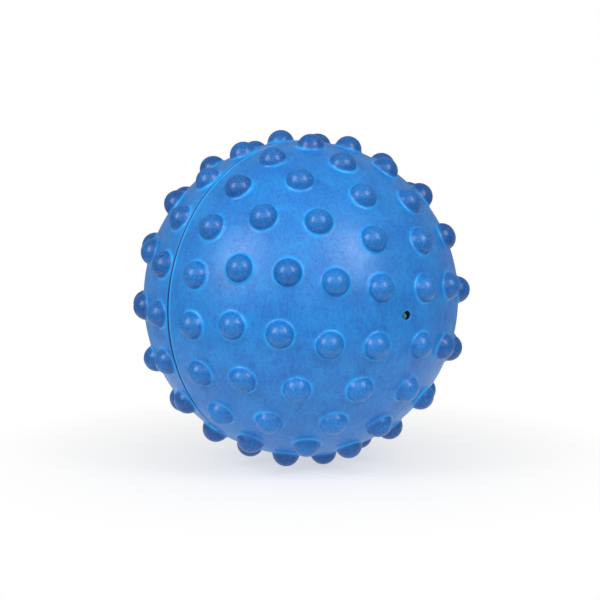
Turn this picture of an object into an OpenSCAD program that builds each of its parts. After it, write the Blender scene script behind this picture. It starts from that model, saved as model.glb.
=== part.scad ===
/* Knobbly squeeze ball: two moulded rubber half shells cemented together
   around a ball of foam, with a vent hole beside one pole.
   The poles lie on the Y axis, the vented half towards -Y, and +Z is up. */

/* [Ball] */
// Diameter of the ball's skin, without the knobs
ball_d = 65; // [50:0.5:90]
// Thickness of the rubber shells
wall = 3; // [2:0.1:4.5]

/* [Knobs] */
// Diameter of a knob where it leaves the skin
knob_d = 5.6; // [4:0.1:7]
// Height of a knob above the skin
knob_h = 2.5; // [1.5:0.1:3.2]
// Angle from the pole to the first row, which has 4 knobs
row_1_angle = 14.4; // [13:0.1:16]
// Angle from the pole to the second row, which has 8 knobs
row_2_angle = 29.7; // [28:0.1:31]
// Angle from the pole to the third row, which has 12 knobs
row_3_angle = 46.3; // [45:0.1:48]
// Angle from the pole to the fourth row, which has 16 knobs
row_4_angle = 63.4; // [62:0.1:65]
// Angle from the front pole to the fifth row, which has 20 knobs
row_5_angle = 80.6; // [79:0.1:81]
// Angle from the rear pole to the rear half's fifth row, which keeps clear of the seam
rear_row_5_angle = 80; // [79:0.1:80.5]
// Angle from the top to the nearest knob of the first row
row_1_start = 39.6; // [0:0.1:90]
// Angle from the top to the nearest knob of the second row
row_2_start = 15.8; // [0:0.1:45]
// Angle from the top to the nearest knob of the third row
row_3_start = 5.4; // [0:0.1:30]
// Angle from the top to the nearest knob of the fourth row
row_4_start = 1.8; // [0:0.1:22.5]
// Angle from the top to the nearest knob of the fifth row
row_5_start = 3.1; // [0:0.1:18]

/* [Seam] */
// Distance of the seam from the middle of the ball, towards the rear pole
seam_shift = 2.2; // [0:0.1:2.4]
// Thickness of the cement between the two rims
cement_t = 0.3; // [0.2:0.05:0.5]
// How far the cement lies below the skin
cement_recess = 0.3; // [0.1:0.05:0.8]
// How deep the cement soaks into the foam
cement_soak = 1.2; // [0.5:0.1:3]
// How far the rear half was turned against the front half when they were cemented
rear_turn = 1.6; // [0:0.1:9]
// How far the rear half's fourth row is turned, which its mould sets a little apart
rear_row_4_turn = 0.4; // [0:0.1:9]

/* [Vent and core] */
// Diameter of the vent hole beside the front pole
vent_d = 1.8; // [0.8:0.1:3]
// How far the vent lies from the pole axis along X
vent_x = 0.8; // [-2:0.1:2]
// How far the vent lies from the pole axis along Z
vent_z = 0.4; // [-2:0.1:2]
// Gap between the foam core and the shells
core_clearance = 0.3; // [0.2:0.05:1]
// Depth of the dimple in the foam behind the vent hole
vent_dimple = 1.5; // [0.5:0.1:5]

/* [Hidden] */

SKIN_FACETS = 240;
KNOB_FACETS = 64;
BORE_FACETS = 48;
KNOBS_ADDED_PER_ROW = 4;
CUT_MARGIN = 10;

ball_r = ball_d / 2;
cavity_r = ball_r - wall;
core_r = cavity_r - core_clearance;
cement_outer_r = sqrt(ball_r * ball_r - seam_shift * seam_shift) - cement_recess;
cement_inner_r = core_r - cement_soak;

front_angles = [row_1_angle, row_2_angle, row_3_angle, row_4_angle, row_5_angle];
rear_angles = [row_1_angle, row_2_angle, row_3_angle, row_4_angle, rear_row_5_angle];
row_starts = [row_1_start, row_2_start, row_3_start, row_4_start, row_5_start];
front_turns = [0, 0, 0, 0, 0];
rear_turns = [rear_turn, rear_turn, rear_turn, rear_row_4_turn, rear_turn];

// A knob is part of a ball whose circle at the skin is knob_d across
knob_base_r = knob_d / 2;
knob_cap_h = knob_h + ball_r - sqrt(ball_r * ball_r - knob_base_r * knob_base_r);
knob_ball_r = (knob_base_r * knob_base_r + knob_cap_h * knob_cap_h) / (2 * knob_cap_h);
knob_ball_centre = ball_r + knob_h - knob_ball_r;

// Side of the cube that cuts a ball in half
cut_side = 2 * (ball_r + knob_h) + CUT_MARGIN;

// One knob on the front half, from_pole degrees from its pole
module knob(from_pole, from_top) {
    rotate([0, -from_top, 0])
        rotate([-from_pole, 0, 0])
            translate([0, -knob_ball_centre, 0])
                sphere(r = knob_ball_r, $fn = KNOB_FACETS);
}

// Five rows round the pole, each with four knobs more than the one before
module knob_rows(angles, turns) {
    for (row = [0 : len(angles) - 1]) {
        knob_count = KNOBS_ADDED_PER_ROW * (row + 1);
        for (i = [0 : knob_count - 1])
            knob(angles[row], row_starts[row] - turns[row] + i * 360 / knob_count);
    }
}

// A ball whose own poles lie on the Y axis
module pole_ball(radius) {
    rotate([90, 0, 0])
        sphere(r = radius, $fn = SKIN_FACETS);
}

// A half shell with its pole at -Y and its flat rim at y = rim_y
module half_shell(rim_y, angles, turns) {
    difference() {
        union() {
            pole_ball(ball_r);
            knob_rows(angles, turns);
        }
        pole_ball(cavity_r);
        translate([-cut_side / 2, rim_y, -cut_side / 2])
            cube(cut_side);
    }
}

// A straight hole beside the front pole, parallel to the pole axis
module vent_hole(depth) {
    translate([vent_x, 0, vent_z])
        rotate([90, 0, 0])
            translate([0, 0, ball_r - depth])
                cylinder(d = vent_d, h = depth + knob_h, $fn = BORE_FACETS);
}

// The flat ring of cement that fills the seam
module cement_ring() {
    translate([0, seam_shift + cement_t / 2, 0])
        rotate([90, 0, 0])
            difference() {
                cylinder(r = cement_outer_r, h = cement_t, $fn = SKIN_FACETS);
                translate([0, 0, -cement_t])
                    cylinder(r = cement_inner_r, h = 3 * cement_t, $fn = SKIN_FACETS);
            }
}

module front_half_shell() {
    color("#2e76c8")
        difference() {
            half_shell(seam_shift - cement_t / 2, front_angles, front_turns);
            vent_hole(wall + core_clearance);
        }
}

module rear_half_shell() {
    color("#2b70c0")
        mirror([0, 1, 0])
            half_shell(-seam_shift - cement_t / 2, rear_angles, rear_turns);
}

module seam_cement() {
    color("#12264a")
        cement_ring();
}

module foam_core() {
    color("#2f7f78")
        difference() {
            pole_ball(core_r);
            cement_ring();
            vent_hole(wall + core_clearance + vent_dimple);
        }
}

front_half_shell();
rear_half_shell();
seam_cement();
foam_core();
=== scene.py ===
import math

import bmesh
import bpy
from mathutils import Matrix, Vector, kdtree, noise


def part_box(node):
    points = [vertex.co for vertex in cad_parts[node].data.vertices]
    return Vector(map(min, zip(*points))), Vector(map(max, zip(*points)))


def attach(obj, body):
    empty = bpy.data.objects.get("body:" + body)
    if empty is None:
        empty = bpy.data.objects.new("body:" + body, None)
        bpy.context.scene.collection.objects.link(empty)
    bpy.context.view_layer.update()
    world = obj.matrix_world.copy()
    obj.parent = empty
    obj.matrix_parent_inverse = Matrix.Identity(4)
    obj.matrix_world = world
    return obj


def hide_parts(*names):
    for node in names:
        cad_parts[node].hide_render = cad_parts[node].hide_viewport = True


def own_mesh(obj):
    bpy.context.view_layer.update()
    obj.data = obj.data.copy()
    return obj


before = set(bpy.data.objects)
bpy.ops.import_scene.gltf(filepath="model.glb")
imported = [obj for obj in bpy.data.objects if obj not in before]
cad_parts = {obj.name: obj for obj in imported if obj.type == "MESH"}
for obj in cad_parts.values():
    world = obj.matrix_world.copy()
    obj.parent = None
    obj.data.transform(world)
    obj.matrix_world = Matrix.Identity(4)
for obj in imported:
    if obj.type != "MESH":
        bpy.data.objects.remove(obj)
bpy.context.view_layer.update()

MM = 0.001


# ---------------------------------------------------------------------------
# Camera. A long lens, a little above the ball's middle and to the left of the
# vented pole, far enough away that the ball shows almost half of its skin.
# ---------------------------------------------------------------------------
CAMERA_DISTANCE = 552 * MM
CAMERA_LENS_MM = 160
CAMERA_AZIMUTH = math.radians(-38.9)
CAMERA_ELEVATION = math.radians(8.9)
FRAME_SHIFT_X = -0.0015
FRAME_SHIFT_Y = -0.0035


def direction_at(azimuth, elevation):
    """The unit vector from the ball's centre towards that azimuth and elevation, where 0, 0 is -Y."""
    return Vector((
        math.sin(azimuth) * math.cos(elevation),
        -math.cos(azimuth) * math.cos(elevation),
        math.sin(elevation),
    ))


def aim(thing, place, target=Vector((0, 0, 0))):
    """Puts a camera or a light at a place and turns it towards the target."""
    thing.location = place
    thing.rotation_euler = (target - place).to_track_quat("-Z", "Y").to_euler()


camera_data = bpy.data.cameras.new("camera")
camera_data.lens = CAMERA_LENS_MM
camera_data.shift_x = FRAME_SHIFT_X
camera_data.shift_y = FRAME_SHIFT_Y
camera = bpy.data.objects.new("camera", camera_data)
bpy.context.scene.collection.objects.link(camera)
aim(camera, direction_at(CAMERA_AZIMUTH, CAMERA_ELEVATION) * CAMERA_DISTANCE)
bpy.context.scene.camera = camera


# ---------------------------------------------------------------------------
# Front half shell. Blue rubber, pressed in one piece with its knobs and then
# trimmed at the rim, where it stands slightly proud of the other half. A round
# vent goes through it beside its pole.
# ---------------------------------------------------------------------------
BALL_R = 32.5 * MM
WALL = 3 * MM
CAVITY_R = BALL_R - WALL
MID_WALL_R = CAVITY_R + WALL / 2
CAVITY_RINGS = 8
SKIN_DIVISIONS = 7
FRONT_SIDE = -1
POLES_TO_Y = Matrix.Rotation(math.radians(90), 3, "X")

# Knobs: five rows round the pole, at these angles from it and from the top, in degrees
KNOB_BASE_R = 2.8 * MM
KNOB_H = 2.5 * MM
KNOB_FILLET = 0.65 * MM
KNOB_REACH = 4.6 * MM
KNOB_UNEVEN = 0.02
KNOBS_ADDED_PER_ROW = 4
FRONT_ANGLES = (14.4, 29.7, 46.3, 63.4, 80.6)
FRONT_TURNS = (0, 0, 0, 0, 0)
ROW_STARTS = (39.6, 15.8, 5.4, 1.8, 3.1)

# Knob shades: painted light and shade, paler on knobs that face the camera and darker towards the
# outline, palest low down at the front, and each knob a little different at random
LIT_SIDE = Vector((-0.62, -0.77, 0.15))
LIT_SPREAD = 0.75
PALEST_SIDE = Vector((-0.10, -0.80, -0.59))
PALE_SHADE = 0.66
PALE_SHADE_GAIN = 0.55
SHADE_CHANCE = 0.5

# Chance comes from a noise field, which each use reads at a spacing of its own
SIZE_SPACING = 7.3
SHADE_SPACING = 31.7
WAVE_SIZE = 9 * MM
WAVE_DEPTH = 0.045 * MM
SMALL_WAVE_SHARE = 0.5
SMALL_WAVE_PITCH = 2.3

# Rim: angles are turns about the pole axis, from the top towards -X
SEAM_Y = 2.2 * MM
CEMENT_T = 0.3 * MM
RIM_ROUND = 0.35 * MM
RIM_ROUND_STEPS = 4
RIM_LEVEL = 0.7 * MM
CUT_TOLERANCE = 1e-7
RIM_WELD = 0.09 * MM
RIM_TOLERANCE = 0.1 * MM
LIFTED_RIM_TOLERANCE = 0.12 * MM
FRONT_RIM_LIP = 0.22 * MM
LIP_WIDTH = 0.9 * MM
PROUD_AT = math.radians(30)
PROUD_MEAN = 0.55
PROUD_SWING = 0.45
# Dark beside the seam: cement smear on the rims and painted shade in the seam's groove, darkest low on
# the -X side
SEAM_DARK_AT = math.radians(125)
SEAM_DARK_MEAN = 0.5
SEAM_DARK_SWING = 0.5
# Painted highlight along the rim: strong over the top and sides of the front rim, fading towards its
# bottom, weak elsewhere
RIM_HIGHLIGHT_END = math.radians(125)
RIM_HIGHLIGHT_FADE = math.radians(35)
RIM_HIGHLIGHT_LEAST = 0.25

# Vent: a round hole beside the pole, with a rounded mouth and one torn corner
VENT_AXIS = Vector((0.8 * MM, 0, 0.4 * MM))
VENT_R = 0.9 * MM
VENT_ROUND = 0.14 * MM
VENT_TAIL = 0.35 * MM
VENT_TAIL_SPREAD = math.radians(24)
# The vent's wall is painted dark as shade below this depth, within this many vent radii of its axis
VENT_DARK_DEPTH = 0.35 * MM
VENT_DARK_REACH = 1.5
FAR_FROM_VENT = 10

# Pinhole: where an air bubble lay in the mould
PIT_R = 0.26 * MM
PIT_DEPTH = 0.45 * MM

# How near a knob, the vent or the pinhole the ball's mesh is made finer
KNOB_FINE_REACH = 1.06 * KNOB_REACH
HOLE_FINE_REACHES = (3 * MM, 2 * MM)


def pole_direction(side, from_pole, from_top):
    """The unit vector at those angles, in degrees, on the front half (side -1) or the rear (1)."""
    polar = math.radians(from_pole)
    turn = math.radians(from_top)
    return Vector((
        -math.sin(polar) * math.sin(turn),
        side * math.cos(polar),
        math.sin(polar) * math.cos(turn),
    ))


def knob_axes(side, row_angles, row_turns):
    """Unit vectors along the axes of one half's knobs."""
    axes = []
    for row, (from_pole, start) in enumerate(zip(row_angles, ROW_STARTS)):
        count = KNOBS_ADDED_PER_ROW * (row + 1)
        for number in range(count):
            axes.append(pole_direction(side, from_pole, start - row_turns[row] + 360 * number / count))
    return axes


def smooth_step(value):
    """0 up to 0 and 1 from 1 on, with a smooth rise between."""
    value = min(max(value, 0.0), 1.0)
    return value * value * (3 - 2 * value)


def knob_paleness(axis):
    """How pale a knob is: dark at 0 and below, palest at 1 and above. Knobs facing the camera get
    painted light and those towards the outline painted shade; a noise adds random tone.
    """
    facing_light = smooth_step(axis.dot(LIT_SIDE) / LIT_SPREAD)
    lit_paleness = facing_light * (PALE_SHADE + PALE_SHADE_GAIN * axis.dot(PALEST_SIDE))
    return lit_paleness + SHADE_CHANCE * noise.noise(axis * SHADE_SPACING)


class KnobProfile:
    """The outline of one knob in a plane through its axis: dome, fillet and skin, with the
    ball's centre at the origin. Its length is shared out so that the fillet gets small steps."""

    DOME_SHARE = 0.56
    FILLET_SHARE = 0.26

    def __init__(self, height, base_r):
        cap_h = height + BALL_R - math.sqrt(BALL_R ** 2 - base_r ** 2)
        self.dome_r = (base_r ** 2 + cap_h ** 2) / (2 * cap_h)
        self.dome_z = BALL_R + height - self.dome_r
        to_fillet = BALL_R + KNOB_FILLET
        reach = self.dome_r + KNOB_FILLET
        self.fillet_z = (to_fillet ** 2 - reach ** 2 + self.dome_z ** 2) / (2 * self.dome_z)
        self.fillet_x = math.sqrt(to_fillet ** 2 - self.fillet_z ** 2)
        self.dome_end = math.atan2(self.fillet_x, self.fillet_z - self.dome_z)
        self.skin_start = math.atan2(self.fillet_x, self.fillet_z)
        self.skin_end = KNOB_REACH / BALL_R

    def at(self, share):
        """The point (distance from the axis, height along it) at a share of the way out."""
        if share < self.DOME_SHARE:
            angle = self.dome_end * share / self.DOME_SHARE
            return self.dome_r * math.sin(angle), self.dome_z + self.dome_r * math.cos(angle)
        share -= self.DOME_SHARE
        if share < self.FILLET_SHARE:
            part = share / self.FILLET_SHARE
            angle = self.dome_end + (self.skin_start - self.dome_end) * part
            x = self.fillet_x - KNOB_FILLET * math.sin(angle)
            z = self.fillet_z - KNOB_FILLET * math.cos(angle)
            return x, z
        part = (share - self.FILLET_SHARE) / (1 - self.DOME_SHARE - self.FILLET_SHARE)
        angle = self.skin_start + (self.skin_end - self.skin_start) * part
        return BALL_R * math.sin(angle), BALL_R * math.cos(angle)


def tree_of(directions):
    """A search tree that finds the nearest of the directions."""
    tree = kdtree.KDTree(len(directions))
    for index, direction in enumerate(directions):
        tree.insert(direction, index)
    tree.balance()
    return tree


def refine_near(bm, tree, reach):
    """Halves the edges of the bare ball that lie within reach of one of the tree's directions."""
    limit = 2 * math.sin(reach / BALL_R / 2)
    near = {v for v in bm.verts if tree.find(v.co.normalized())[2] < limit}
    edges = [e for e in bm.edges if e.verts[0] in near and e.verts[1] in near]
    bmesh.ops.subdivide_edges(bm, edges=edges, cuts=1, use_grid_fill=True)
    for v in bm.verts:
        v.co = v.co.normalized() * BALL_R


def raise_knobs(bm, axes, knob_tree, profiles):
    """Moves each vertex near a knob's axis onto that knob's outline. It also marks how far out
    the vertex lies, from 0 on the knob's axis to 1 on bare skin, and the tone of that knob with its
    painted light and shade."""
    from_knob = bm.verts.layers.float.new("from_knob")
    knob_tone_and_light = bm.verts.layers.float.new("knob_tone_and_light")
    for v in bm.verts:
        unit = v.co.normalized()
        _, index, _ = knob_tree.find(unit)
        axis = axes[index]
        angle = unit.angle(axis)
        share = angle * BALL_R / KNOB_REACH
        v[from_knob] = min(share, 1.0)
        v[knob_tone_and_light] = knob_paleness(axis)
        if share >= 1:
            continue
        outwards = unit - axis * unit.dot(axis)
        if outwards.length > 0:
            outwards.normalize()
        x, z = profiles[index].at(share)
        v.co = axis * z + outwards * x


def ripple(bm):
    """Gives the skin the slight unevenness of soft pressed rubber."""
    for v in bm.verts:
        swell = noise.noise(v.co / WAVE_SIZE)
        swell += SMALL_WAVE_SHARE * noise.noise(v.co / WAVE_SIZE * SMALL_WAVE_PITCH)
        v.co += v.co.normalized() * swell * WAVE_DEPTH


def trim_at_rim(bm, side, rim_y, lip):
    """Cuts the shell off at its rim, where any knob that reaches it is levelled, and lifts the
    skin next to the rim by the lip."""
    cut_y = rim_y + side * RIM_ROUND
    bmesh.ops.bisect_plane(
        bm, geom=bm.verts[:] + bm.edges[:] + bm.faces[:], dist=CUT_TOLERANCE,
        plane_co=(0, cut_y, 0), plane_no=(0, -side, 0), clear_outer=True,
    )
    rim_verts = [v for v in bm.verts if abs(v.co.y - cut_y) < RIM_TOLERANCE]
    bmesh.ops.remove_doubles(bm, verts=rim_verts, dist=RIM_WELD)
    for v in bm.verts:
        from_rim = abs(v.co.y - rim_y)
        rise = v.co.length - BALL_R
        if rise > WAVE_DEPTH:
            share_kept = smooth_step((from_rim - RIM_ROUND) / RIM_LEVEL)
            v.co *= (BALL_R + rise * share_kept) / v.co.length
        turn = math.atan2(-v.co.x, v.co.z)
        proud = PROUD_MEAN + PROUD_SWING * math.cos(turn - PROUD_AT)
        v.co += v.co.normalized() * lip * proud * smooth_step(1 - from_rim / LIP_WIDTH)


def open_edges(bm, near_y, within):
    """The edges of the hole whose loop lies at that height along the pole axis."""
    return [
        e for e in bm.edges
        if e.is_boundary and all(abs(v.co.y - near_y) < within for v in e.verts)
    ]


def extrude_loop(bm, edges, move):
    """Extrudes a loop of open edges and moves each new vertex; returns the new loop."""
    made = bmesh.ops.extrude_edge_only(bm, edges=edges)["geom"]
    for v in made:
        if isinstance(v, bmesh.types.BMVert):
            v.co = move(v.co)
    return [e for e in made if isinstance(e, bmesh.types.BMEdge) and e.is_boundary]


def close_rim_and_cavity(bm, side, rim_y):
    """Rounds the rim over, carries it in to the cavity and lines the cavity up to its pole, where
    it returns the last open loop."""
    cut_y = rim_y + side * RIM_ROUND
    loop = open_edges(bm, cut_y, LIFTED_RIM_TOLERANCE)
    for v in {v for e in loop for v in e.verts}:
        v.co.y = cut_y
    quarter = math.pi / 2
    for step in range(1, RIM_ROUND_STEPS + 1):
        before = quarter * (step - 1) / RIM_ROUND_STEPS
        after = quarter * step / RIM_ROUND_STEPS
        inwards = RIM_ROUND * (math.cos(before) - math.cos(after))
        towards_rim = RIM_ROUND * (math.sin(after) - math.sin(before))

        def round_over(co, inwards=inwards, towards_rim=towards_rim):
            """One step in and over the rounded edge."""
            across = Vector((co.x, 0, co.z))
            moved = across - across.normalized() * inwards
            return Vector((moved.x, co.y - side * towards_rim, moved.z))

        loop = extrude_loop(bm, loop, round_over)

    start = math.acos(min(max(rim_y * side / CAVITY_R, -1), 1))
    for ring in range(CAVITY_RINGS):
        polar = start * (1 - ring / CAVITY_RINGS)

        def onto_cavity(co, polar=polar):
            """Straight inwards or along the cavity, to the ring at that angle from the pole."""
            across = Vector((co.x, 0, co.z)).normalized() * CAVITY_R * math.sin(polar)
            return Vector((across.x, side * CAVITY_R * math.cos(polar), across.z))

        loop = extrude_loop(bm, loop, onto_cavity)
    return loop


def bump(distance, width):
    """1 at no distance, falling smoothly to almost nothing at twice the width."""
    return math.exp(-(distance / width) ** 2)


def beside_vent(co):
    """The part of a place that lies across the vent's axis, measured from that axis."""
    return Vector((co.x - VENT_AXIS.x, 0, co.z - VENT_AXIS.z))


def vent_ring(co, widening, depth):
    """The place at that depth under the skin on the vent's wall, which has a torn corner on its
    left, or outside it by the widening."""
    across = beside_vent(co).normalized()
    tail = VENT_TAIL * bump(across.angle(Vector((-1, 0, 0))), VENT_TAIL_SPREAD)
    place = VENT_AXIS + across * (VENT_R + tail + widening)
    place.y = depth - math.sqrt(BALL_R ** 2 - place.x ** 2 - place.z ** 2)
    return place


def open_vent(bm, cavity_loop):
    """Cuts the vent through the front shell and joins it to the cavity."""
    inside = []
    for face in bm.faces:
        middle = face.calc_center_median()
        on_skin = middle.y < 0 and middle.length > MID_WALL_R
        if on_skin and beside_vent(middle).length < VENT_R:
            inside.append(face)
    bmesh.ops.delete(bm, geom=inside, context="FACES")
    loop = [
        e for e in bm.edges
        if e.is_boundary and e.verts[0].co.y < 0 and beside_vent(e.verts[0].co).length < 2 * VENT_R
        and e.verts[0].co.length > MID_WALL_R
    ]
    for v in {v for e in loop for v in e.verts}:
        v.co = vent_ring(v.co, VENT_ROUND, 0)
    for step in range(1, RIM_ROUND_STEPS + 1):
        angle = math.pi / 2 * step / RIM_ROUND_STEPS
        widening = VENT_ROUND * (1 - math.sin(angle))
        depth = VENT_ROUND * (1 - math.cos(angle))
        loop = extrude_loop(bm, loop, lambda co, w=widening, d=depth: vent_ring(co, w, d))
    loop = extrude_loop(bm, loop, lambda co: vent_ring(co, 0, VENT_DARK_DEPTH))
    loop = extrude_loop(bm, loop, lambda co: vent_ring(co, 0, WALL))
    bmesh.ops.bridge_loops(bm, edges=loop + cavity_loop)


def mark_rim_and_vent(bm, rim_y, vented):
    """Marks each vertex's distance from the rim in millimetres, how strong the rim's painted highlight
    and how dark the seam's smear and painted shade are there, its distance from the vent in vent
    radii, and how deep in the vent it is, which sets the vent's painted shade."""
    from_rim = bm.verts.layers.float.new("from_rim")
    rim_highlight = bm.verts.layers.float.new("rim_highlight")
    seam_dark = bm.verts.layers.float.new("seam_dark")
    from_vent = bm.verts.layers.float.new("from_vent")
    vent_shade = bm.verts.layers.float.new("vent_shade")
    for v in bm.verts:
        v[from_rim] = abs(v.co.y - rim_y) / MM
        turn = math.atan2(-v.co.x, v.co.z)
        v[rim_highlight] = RIM_HIGHLIGHT_LEAST
        if vented:
            highlight_here = smooth_step((RIM_HIGHLIGHT_END - abs(turn)) / RIM_HIGHLIGHT_FADE)
            v[rim_highlight] += (1 - RIM_HIGHLIGHT_LEAST) * highlight_here
        v[seam_dark] = SEAM_DARK_MEAN + SEAM_DARK_SWING * math.cos(turn - SEAM_DARK_AT)
        v[from_vent] = FAR_FROM_VENT
        if vented and v.co.y < 0:
            v[from_vent] = min(beside_vent(v.co).length / VENT_R, FAR_FROM_VENT)
            if v[from_vent] < VENT_DARK_REACH:
                v[vent_shade] = smooth_step((BALL_R - v.co.length - VENT_ROUND / 2) / VENT_DARK_DEPTH)


def sink_pit(bm, pit):
    """Sinks a pinhole into the skin at that direction, if there is one, and marks the painted shade in
    it.
    """
    pit_depth_and_shade = bm.verts.layers.float.new("pit_depth_and_shade")
    if pit is None:
        return
    for v in bm.verts:
        unit = v.co.normalized()
        v[pit_depth_and_shade] = bump((unit - pit).length * BALL_R, PIT_R)
        v.co -= unit * v[pit_depth_and_shade] * PIT_DEPTH


def as_piece(name, bm, smooth=False):
    """Turns a finished bmesh into an object in the scene."""
    for face in bm.faces:
        face.smooth = smooth
    mesh = bpy.data.meshes.new(name)
    bm.to_mesh(mesh)
    bm.free()
    piece = bpy.data.objects.new(name, mesh)
    bpy.context.scene.collection.objects.link(piece)
    return piece


def half_shell(name, side, rim_y, lip, row_angles, row_turns, vented=False, pit=None):
    """One half of the rubber skin, with its knobs, its rim and its cavity, as a closed mesh."""
    axes = knob_axes(side, row_angles, row_turns)
    knob_tree = tree_of(axes)
    holes = []
    if vented:
        holes.append(VENT_AXIS + Vector((0, -BALL_R, 0)))
    if pit is not None:
        holes.append(pit)
    profiles = []
    for axis in axes:
        grow = 1 + KNOB_UNEVEN * noise.noise(axis * SIZE_SPACING)
        profiles.append(KnobProfile(KNOB_H * grow, KNOB_BASE_R * grow))

    bm = bmesh.new()
    bmesh.ops.create_icosphere(bm, subdivisions=SKIN_DIVISIONS, radius=BALL_R)
    bmesh.ops.rotate(bm, verts=bm.verts, matrix=POLES_TO_Y)
    bmesh.ops.bisect_plane(
        bm, geom=bm.verts[:] + bm.edges[:] + bm.faces[:],
        plane_co=(0, rim_y - side * KNOB_REACH, 0), plane_no=(0, -side, 0), clear_outer=True,
    )
    refine_near(bm, knob_tree, KNOB_FINE_REACH)
    for hole in holes:
        for reach in HOLE_FINE_REACHES:
            refine_near(bm, tree_of([hole.normalized()]), reach)
    raise_knobs(bm, axes, knob_tree, profiles)
    ripple(bm)
    sink_pit(bm, pit)
    trim_at_rim(bm, side, rim_y, lip)
    cavity_loop = close_rim_and_cavity(bm, side, rim_y)
    if vented:
        open_vent(bm, cavity_loop)
    else:
        cavity_verts = list({v for e in cavity_loop for v in e.verts})
        bmesh.ops.pointmerge(bm, verts=cavity_verts, merge_co=(0, side * CAVITY_R, 0))
    mark_rim_and_vent(bm, rim_y, vented)
    bmesh.ops.recalc_face_normals(bm, faces=bm.faces)
    return as_piece(name, bm, smooth=True)


class Nodes:
    """Short ways to add and join the nodes of one material."""

    def __init__(self, name):
        self.material = bpy.data.materials.new(name)
        self.material.use_nodes = True
        self.tree = self.material.node_tree
        self.shader = self.tree.nodes["Principled BSDF"]
        self.place = self.add("ShaderNodeTexCoord").outputs["Object"]

    def add(self, kind, **settings):
        """Adds a node of that kind with those settings."""
        node = self.tree.nodes.new(kind)
        for key, value in settings.items():
            setattr(node, key, value)
        return node

    def join(self, source, target):
        """Leads one node's output to another's input."""
        self.tree.links.new(source, target)

    def noise(self, size, detail=4.0, roughness=0.55, distortion=0.0, stretch=None):
        """A noise whose lumps are about that size in metres, stretched that many times along Z."""
        node = self.add("ShaderNodeTexNoise")
        node.inputs["Scale"].default_value = 1 / size
        node.inputs["Detail"].default_value = detail
        node.inputs["Roughness"].default_value = roughness
        node.inputs["Distortion"].default_value = distortion
        place = self.place
        if stretch is not None:
            mapping = self.add("ShaderNodeMapping")
            mapping.inputs["Scale"].default_value = (1, 1, 1 / stretch)
            self.join(place, mapping.inputs["Vector"])
            place = mapping.outputs["Vector"]
        self.join(place, node.inputs["Vector"])
        return node.outputs["Fac"]

    def attribute(self, name):
        """A value that was marked on the vertices of the piece."""
        return self.add("ShaderNodeAttribute", attribute_name=name).outputs["Fac"]

    def range(self, value, low, high, to_low=0.0, to_high=1.0):
        """Goes from one result to the other while the value goes from low to high."""
        node = self.add("ShaderNodeMapRange")
        self.join(value, node.inputs["Value"])
        node.inputs["From Min"].default_value = low
        node.inputs["From Max"].default_value = high
        node.inputs["To Min"].default_value = to_low
        node.inputs["To Max"].default_value = to_high
        return node.outputs["Result"]

    def band(self, value, start, full, fade, end):
        """1 where the value lies between full and fade, falling to 0 at start and end."""
        return self.times(self.range(value, start, full), self.range(value, fade, end, 1.0, 0.0))

    def times(self, first, second):
        """Multiplies two values."""
        node = self.add("ShaderNodeMath", operation="MULTIPLY")
        self.join(first, node.inputs[0])
        self.join(second, node.inputs[1])
        return node.outputs[0]

    def blend(self, factor, first, second):
        """Goes from the first value to the second as the factor goes from 0 to 1."""
        node = self.add("ShaderNodeMix", data_type="FLOAT")
        self.join(factor, node.inputs[0])
        self.join(first, node.inputs[2])
        self.join(second, node.inputs[3])
        return node.outputs[0]

    def mix(self, factor, first, second):
        """Mixes two colours; each is a colour or the output of a node."""
        node = self.add("ShaderNodeMix", data_type="RGBA")
        self.join(factor, node.inputs["Factor"])
        for socket, colour in ((node.inputs[6], first), (node.inputs[7], second)):
            if isinstance(colour, tuple):
                socket.default_value = (*colour, 1)
            else:
                self.join(colour, socket)
        return node.outputs[2]

    def bump(self, height, distance, strength, under=None):
        """Fine relief as deep as that distance, laid over the relief under it if there is one."""
        node = self.add("ShaderNodeBump")
        node.inputs["Distance"].default_value = distance
        node.inputs["Strength"].default_value = strength
        self.join(height, node.inputs["Height"])
        if under is not None:
            self.join(under, node.inputs["Normal"])
        return node.outputs["Normal"]


SKIN_BLUE = (0.003, 0.165, 0.540)
SKIN_PALE_BLUE = (0.008, 0.245, 0.660)
SKIN_DEEP_BLUE = (0.001, 0.108, 0.420)
SKIN_VIOLET_BLUE = (0.045, 0.170, 0.600)
KNOB_BLUE = (0.000, 0.066, 0.270)
# Paler knob blue: random tone and painted light on knobs facing the camera
KNOB_PALE_AND_LIT_BLUE = (0.005, 0.150, 0.490)
KNOB_SPECK_BLUE = (0.034, 0.255, 0.680)
HIGHLIGHT_BLUE = (0.010, 0.370, 0.880)
# Seam colour: cement smear and painted shade
SEAM_DARK_BLUE = (0.000, 0.026, 0.170)
HOLLOW_SHADE_BLUE = (0.000, 0.003, 0.012)

# How large the marks in the rubber are
CLOUD_SIZE = 6.5 * MM
BLOTCH_SIZE = 1.9 * MM
STIPPLE_SIZE = 0.50 * MM
SPECK_SIZE = 0.42 * MM
STREAK_SIZE = 0.45 * MM
STREAK_STRETCH = 9

# Which part of a noise is seen as marks, and how weakly and strongly they then show
NOISE_SPAN = (0.3, 0.7)
CLOUDS_SHOWN = (0.38, 0.62)
BLOTCHES_SHOWN = (0.50, 0.75, 0.0, 0.75)
STIPPLE_SHOWN = (0.42, 0.72, 0.0, 0.55)
SPECKS_SHOWN = (0.48, 0.72, 0.0, 0.90)
STREAKS_SHOWN = (0.50, 0.72, 0.0, 0.60)
KNOB_SPECKS_SHOWN = (0.46, 0.70)
KNOB_SPECKS_BY_TONE = (0, 1, 0.45, 0.80)
HALO_AMOUNT_SHOWN = (0.36, 0.60, 0.10, 0.90)

# Shares of the way out from a knob's axis to bare skin
KNOB_FOOT = (0.50, 0.62)
# Ring at each knob's foot, partly thinner colour and partly painted highlight
HALO_BAND = (0.60, 0.67, 0.70, 0.88)

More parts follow.
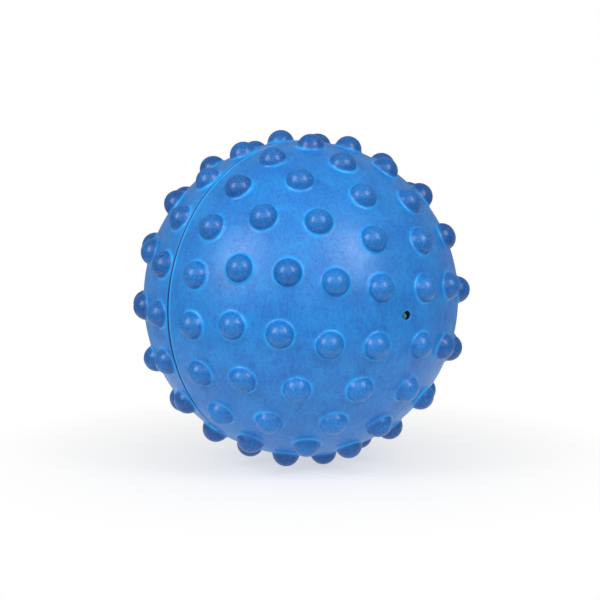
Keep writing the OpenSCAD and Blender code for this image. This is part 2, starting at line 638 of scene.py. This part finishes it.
# Millimetres from the rim
RIM_LINE_BAND = (0.26, 0.38, 0.54, 0.80)
SEAM_DARK_EDGE = (0.14, 0.34)

# Vent radii from the vent's axis
# Painted highlight round the vent's mouth
VENT_HIGHLIGHT_EDGE = (1.10, 1.50)
VENT_HIGHLIGHT = 0.5

SKIN_ROUGHNESS = (0.34, 0.46)
KNOB_ROUGHNESS = (0.31, 0.38)
RUBBER_SPECULAR = 0.48
STIPPLE_DEPTH = 0.035 * MM
STIPPLE_RELIEF = 0.40
BLOTCH_DEPTH = 0.08 * MM
BLOTCH_RELIEF = 0.30


def blue_rubber():
    """Satin blue rubber. The bare skin is cloudy and finely stippled, the knobs are darker and
    speckled, with painted light and shade on them, each knob's foot has a bright blue ring that is
    partly thinner colour and partly painted highlight, the rims, most of all the front one, and the
    vent's mouth carry painted highlights, the rims are dark at the seam with cement smear and painted
    shade, and the vent and pinhole hold painted shade."""
    n = Nodes("blue_rubber")
    clouds = n.noise(CLOUD_SIZE, detail=5, roughness=0.62, distortion=0.6)
    blotches = n.noise(BLOTCH_SIZE, detail=4, roughness=0.65, distortion=1.2)
    stipple = n.noise(STIPPLE_SIZE, detail=2, roughness=0.6)
    specks = n.noise(SPECK_SIZE, detail=3, roughness=0.7, distortion=0.5)
    streaks = n.noise(STREAK_SIZE, detail=3, roughness=0.5, stretch=STREAK_STRETCH)
    from_knob = n.attribute("from_knob")
    from_rim = n.attribute("from_rim")

    colour = n.mix(n.range(clouds, *CLOUDS_SHOWN), SKIN_BLUE, SKIN_PALE_BLUE)
    colour = n.mix(n.range(blotches, *BLOTCHES_SHOWN), colour, SKIN_DEEP_BLUE)
    colour = n.mix(n.range(stipple, *STIPPLE_SHOWN), colour, SKIN_DEEP_BLUE)
    colour = n.mix(n.range(specks, *SPECKS_SHOWN), colour, SKIN_VIOLET_BLUE)
    colour = n.mix(n.range(streaks, *STREAKS_SHOWN), colour, SKIN_PALE_BLUE)

    on_knob = n.range(from_knob, *KNOB_FOOT, 1.0, 0.0)
    knob_tone_and_light = n.attribute("knob_tone_and_light")
    # Painted light and shade: the paler blue for knobs facing the camera, the darker towards the
    # outline
    knob = n.mix(knob_tone_and_light, KNOB_BLUE, KNOB_PALE_AND_LIT_BLUE)
    speckled = n.times(n.range(specks, *KNOB_SPECKS_SHOWN), n.range(knob_tone_and_light, *KNOB_SPECKS_BY_TONE))
    knob = n.mix(speckled, knob, KNOB_SPECK_BLUE)
    colour = n.mix(on_knob, colour, knob)

    # Ring round each knob's foot: partly thinner colour, partly a painted highlight on the fillet
    halo_amount = n.range(clouds, *HALO_AMOUNT_SHOWN)
    halo = n.times(n.band(from_knob, *HALO_BAND), halo_amount)
    colour = n.mix(halo, colour, HIGHLIGHT_BLUE)
    # Painted highlight along the rim
    rim_highlight_line = n.times(n.band(from_rim, *RIM_LINE_BAND), n.attribute("rim_highlight"))
    colour = n.mix(rim_highlight_line, colour, HIGHLIGHT_BLUE)
    # Painted highlight round the vent's mouth
    vent_lip_highlight = n.range(n.attribute("from_vent"), *VENT_HIGHLIGHT_EDGE, VENT_HIGHLIGHT, 0.0)
    colour = n.mix(vent_lip_highlight, colour, HIGHLIGHT_BLUE)
    # Dark beside the seam: cement smear and painted shade
    smear_and_shade = n.times(n.range(from_rim, *SEAM_DARK_EDGE, 1.0, 0.0), n.attribute("seam_dark"))
    colour = n.mix(smear_and_shade, colour, SEAM_DARK_BLUE)
    # Painted shade down the vent and in the pinhole
    for hollow_shade in ("vent_shade", "pit_depth_and_shade"):
        colour = n.mix(n.attribute(hollow_shade), colour, HOLLOW_SHADE_BLUE)
    n.join(colour, n.shader.inputs["Base Color"])

    skin_roughness = n.range(blotches, *NOISE_SPAN, *SKIN_ROUGHNESS)
    knob_roughness = n.range(specks, *NOISE_SPAN, *KNOB_ROUGHNESS)
    n.join(n.blend(on_knob, skin_roughness, knob_roughness), n.shader.inputs["Roughness"])
    n.shader.inputs["Specular IOR Level"].default_value = RUBBER_SPECULAR
    grain = n.bump(stipple, STIPPLE_DEPTH, STIPPLE_RELIEF)
    n.join(n.bump(blotches, BLOTCH_DEPTH, BLOTCH_RELIEF, grain), n.shader.inputs["Normal"])
    return n.material


rubber = blue_rubber()
FRONT_RIM_Y = SEAM_Y - CEMENT_T / 2
front_skin = half_shell(
    "front_skin", FRONT_SIDE, FRONT_RIM_Y, FRONT_RIM_LIP, FRONT_ANGLES, FRONT_TURNS, vented=True,
)
front_skin.data.materials.append(rubber)
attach(front_skin, "front_half")
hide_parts("front_half_shell")

# The axis through the ball's poles
POLE_AXIS = (0, 1, 0)
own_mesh(front_skin)


# ---------------------------------------------------------------------------
# Rear half shell. The same blue rubber from the same mould, without the vent.
# It was turned a little against the front half when the two were cemented.
# ---------------------------------------------------------------------------
REAR_SIDE = 1
REAR_RIM_Y = SEAM_Y + CEMENT_T / 2
REAR_RIM_LIP = 0.0

# The last row keeps clear of the seam, and the mould sets the row before it a little apart
REAR_ROW_5_ANGLE = 80.0
REAR_ANGLES = FRONT_ANGLES[:-1] + (REAR_ROW_5_ANGLE,)
REAR_TURN = 1.6
REAR_ROW_4_TURN = 0.4
REAR_TURNS = (REAR_TURN, REAR_TURN, REAR_TURN, REAR_ROW_4_TURN, REAR_TURN)

# The pinhole lies on one knob of the last row
PIT_FROM_POLE = 81.8
PIT_FROM_TOP = 70.8
PIT_DIRECTION = pole_direction(REAR_SIDE, PIT_FROM_POLE, PIT_FROM_TOP)

rear_skin = half_shell(
    "rear_skin", REAR_SIDE, REAR_RIM_Y, REAR_RIM_LIP, REAR_ANGLES, REAR_TURNS, pit=PIT_DIRECTION,
)
rear_skin.data.materials.append(rubber)
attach(rear_skin, "rear_half")
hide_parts("rear_half_shell")
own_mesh(rear_skin)


# ---------------------------------------------------------------------------
# Seam cement. A thin ring of dark rubber cement between the two rims. It was
# brushed on, so its outer edge lies unevenly below the skin.
# ---------------------------------------------------------------------------
CEMENT_RECESS = 0.3 * MM
CEMENT_DEPTH = 4.5 * MM
CEMENT_RIDGE = CEMENT_T / 6
CEMENT_STEPS = 360
CEMENT_WELD = 1e-6
CEMENT_UNEVEN = 0.12 * MM
CEMENT_LUMP = 2.5 * MM
CEMENT_BLUE = (0.000, 0.020, 0.120)
CEMENT_PALE_BLUE = (0.002, 0.048, 0.230)
CEMENT_GRAIN = 1.2 * MM
CEMENT_GRAIN_DEPTH = 0.1 * MM
CEMENT_RELIEF = 0.5
CEMENT_ROUGHNESS = (0.7, 0.9)
CEMENT_SPECULAR = 0.1

# A noise swings about this far to either side of 0
NOISE_SWING = 0.5


def cement_ring(name):
    """A closed flat ring, spun about the pole axis, with a ridged and wavy outer edge."""
    outer = math.sqrt(BALL_R ** 2 - SEAM_Y ** 2) - CEMENT_RECESS
    inner = outer - CEMENT_DEPTH
    half = CEMENT_T / 2
    bm = bmesh.new()
    corners = [
        (outer, -half), (outer + CEMENT_RIDGE, 0), (outer, half),
        (inner, half), (inner, -half),
    ]
    verts = [bm.verts.new((radius, SEAM_Y + y, 0)) for radius, y in corners]
    edges = [bm.edges.new((verts[i], verts[(i + 1) % len(verts)])) for i in range(len(verts))]
    bmesh.ops.spin(
        bm, geom=verts + edges, cent=(0, 0, 0), axis=POLE_AXIS,
        angle=2 * math.pi, steps=CEMENT_STEPS, use_merge=True,
    )
    bmesh.ops.remove_doubles(bm, verts=bm.verts, dist=CEMENT_WELD)
    for v in bm.verts:
        across = Vector((v.co.x, 0, v.co.z))
        if across.length > outer - half:
            sunk = NOISE_SWING + noise.noise(v.co / CEMENT_LUMP)
            v.co -= across.normalized() * CEMENT_UNEVEN * sunk
    bmesh.ops.recalc_face_normals(bm, faces=bm.faces)
    return as_piece(name, bm)


def dark_cement():
    """Matt, grainy cement, almost as dark as ink."""
    n = Nodes("dark_cement")
    grains = n.noise(CEMENT_GRAIN, detail=4, roughness=0.6)
    colour = n.mix(n.range(grains, *NOISE_SPAN), CEMENT_BLUE, CEMENT_PALE_BLUE)
    n.join(colour, n.shader.inputs["Base Color"])
    n.join(n.range(grains, *NOISE_SPAN, *CEMENT_ROUGHNESS), n.shader.inputs["Roughness"])
    n.shader.inputs["Specular IOR Level"].default_value = CEMENT_SPECULAR
    n.join(n.bump(grains, CEMENT_GRAIN_DEPTH, CEMENT_RELIEF), n.shader.inputs["Normal"])
    return n.material


cement = cement_ring("cement_bead")
cement.data.materials.append(dark_cement())
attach(cement, "core")
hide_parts("seam_cement")
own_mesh(cement)


# ---------------------------------------------------------------------------
# Foam core. A ball of soft green polyurethane foam that fills the skin. A
# small nub of it has pushed into the vent from one side.
# ---------------------------------------------------------------------------
CORE_GAP = 0.3 * MM
CORE_R = CAVITY_R - CORE_GAP
CORE_DIVISIONS = 6
CORE_LUMPS = 0.08 * MM
CORE_LUMP_SIZE = 1.6 * MM

# The nub: a round plug with a flattened end, as long as the wall and the gap together
NUB_R = 0.72 * MM
NUB_BELOW_SKIN = 0.10 * MM
NUB_LEAN = Vector((-0.36 * MM, 0, -0.18 * MM))
NUB_FLATNESS = 0.45
NUB_DIVISIONS = 4
NUB_LUMPS = 0.05 * MM
NUB_LUMP_SIZE = 0.4 * MM

FOAM_GREEN = (0.015, 0.160, 0.140)
FOAM_PALE_GREEN = (0.030, 0.240, 0.200)
FOAM_TINT_SIZE = 3 * MM
FOAM_ROUGHNESS = 0.85
PORE_SHADE_GREEN = (0.004, 0.045, 0.040)
PORE_SPACING = 0.5 * MM
PORES_SHOWN = (0.0, 0.45, 0.7, 0.0)
PORE_DEPTH = 0.12 * MM
PORE_RELIEF = 0.7


def foam_ball(name):
    """The foam ball and its nub, as two closed shapes in one mesh."""
    bm = bmesh.new()
    bmesh.ops.create_icosphere(bm, subdivisions=CORE_DIVISIONS, radius=CORE_R)
    bmesh.ops.rotate(bm, verts=bm.verts, matrix=POLES_TO_Y)
    for v in bm.verts:
        swell = noise.noise(v.co / CORE_LUMP_SIZE) - NOISE_SWING
        v.co += v.co.normalized() * CORE_LUMPS * swell
    nub = bmesh.ops.create_icosphere(bm, subdivisions=NUB_DIVISIONS, radius=NUB_R)["verts"]
    stretch = (WALL + CORE_GAP) / (2 * NUB_R)
    for v in nub:
        v.co.y = math.copysign(NUB_R * abs(v.co.y / NUB_R) ** NUB_FLATNESS, v.co.y) * stretch
    nub_y = -BALL_R + NUB_BELOW_SKIN + NUB_R * stretch
    for v in nub:
        v.co += VENT_AXIS + NUB_LEAN + Vector((0, nub_y, 0))
        v.co += Vector((1, 0, 1)) * NUB_LUMPS * noise.noise(v.co / NUB_LUMP_SIZE)
    return as_piece(name, bm, smooth=True)


def green_foam():
    """Dull open foam, with painted shade in its pores."""
    n = Nodes("green_foam")
    cells = n.add("ShaderNodeTexVoronoi")
    cells.inputs["Scale"].default_value = 1 / PORE_SPACING
    n.join(n.place, cells.inputs["Vector"])
    pores = cells.outputs["Distance"]
    tint = n.noise(FOAM_TINT_SIZE, detail=3)
    colour = n.mix(n.range(tint, *NOISE_SPAN), FOAM_GREEN, FOAM_PALE_GREEN)
    # Painted shade in the pores
    colour = n.mix(n.range(pores, *PORES_SHOWN), colour, PORE_SHADE_GREEN)
    n.join(colour, n.shader.inputs["Base Color"])
    n.shader.inputs["Roughness"].default_value = FOAM_ROUGHNESS
    n.join(n.bump(pores, PORE_DEPTH, PORE_RELIEF), n.shader.inputs["Normal"])
    return n.material


foam = foam_ball("foam_ball")
foam.data.materials.append(green_foam())
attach(foam, "core")
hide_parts("foam_core")
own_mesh(foam)


# ---------------------------------------------------------------------------
# Studio. A pale round floor that turns fully white towards its edge, where it
# meets a white surround. Two small, strong soft lights stand left and right,
# and two larger, weaker ones fill in from the front and from above.
# ---------------------------------------------------------------------------
FLOOR_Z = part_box("front_half_shell")[0][2]
FLOOR_R = 90 * MM
FLOOR_STEPS = 96
SHADOW_R = 30 * MM
WHITE_R = 80 * MM
FLOOR_GREY = (0.37, 0.37, 0.37)
FLOOR_GLOW = 0.55
FLOOR_ROUGHNESS = 0.9
WHITE_GLOW = 1.0
WHITE = (1, 1, 1, 1)
NO_COLOUR = (0, 0, 0)


def plain_floor():
    """A disc under the lowest knobs, grey enough near the ball to show its soft shadow."""
    bm = bmesh.new()
    bmesh.ops.create_circle(bm, cap_ends=True, segments=FLOOR_STEPS, radius=FLOOR_R)
    bmesh.ops.translate(bm, verts=bm.verts, vec=(0, 0, FLOOR_Z))
    floor = as_piece("floor", bm)
    n = Nodes("white_floor")
    distance = n.add("ShaderNodeVectorMath", operation="LENGTH")
    n.join(n.place, distance.inputs[0])
    outwards = n.range(distance.outputs["Value"], SHADOW_R, WHITE_R)
    n.join(n.mix(outwards, FLOOR_GREY, NO_COLOUR), n.shader.inputs["Base Color"])
    n.shader.inputs["Roughness"].default_value = FLOOR_ROUGHNESS
    n.shader.inputs["Specular IOR Level"].default_value = 0.0
    n.shader.inputs["Emission Color"].default_value = WHITE
    n.join(n.range(outwards, 0, 1, FLOOR_GLOW, WHITE_GLOW), n.shader.inputs["Emission Strength"])
    floor.data.materials.append(n.material)
    return floor


def softbox(name, azimuth, elevation, distance, width, height, brightness):
    """A soft light of that size in metres, turned towards the ball. Its power grows with the
    square of its distance, so it lights the ball as brightly from any distance."""
    light_data = bpy.data.lights.new(name, "AREA")
    light_data.shape = "RECTANGLE"
    light_data.size = width
    light_data.size_y = height
    light_data.energy = brightness * math.pi * distance ** 2
    light = bpy.data.objects.new(name, light_data)
    bpy.context.scene.collection.objects.link(light)
    aim(light, direction_at(math.radians(azimuth), math.radians(elevation)) * distance)


plain_floor()
softbox(
    "left_light", azimuth=-91, elevation=30, distance=0.45,
    width=0.13, height=0.24, brightness=1.62,
)
softbox(
    "right_light", azimuth=6, elevation=36, distance=0.45,
    width=0.13, height=0.24, brightness=1.45,
)
softbox(
    "front_light", azimuth=-42, elevation=30, distance=0.60,
    width=0.60, height=0.45, brightness=0.74,
)
softbox(
    "top_light", azimuth=-38, elevation=72, distance=0.60,
    width=0.45, height=0.45, brightness=0.14,
)

SURROUND_GLOW = 0.38
SURROUND_SEEN = 1.0


def white_surround():
    """A white room that looks fully white to the camera and lights the ball more gently."""
    world = bpy.data.worlds.new("surround")
    world.use_nodes = True
    tree = world.node_tree
    background = tree.nodes["Background"]
    background.inputs["Color"].default_value = WHITE
    seen = tree.nodes.new("ShaderNodeMapRange")
    seen.inputs["To Min"].default_value = SURROUND_GLOW
    seen.inputs["To Max"].default_value = SURROUND_SEEN
    path = tree.nodes.new("ShaderNodeLightPath")
    tree.links.new(path.outputs["Is Camera Ray"], seen.inputs["Value"])
    tree.links.new(seen.outputs["Result"], background.inputs["Strength"])
    return world


bpy.context.scene.world = white_surround()
bpy.context.scene.view_settings.view_transform = "Standard"
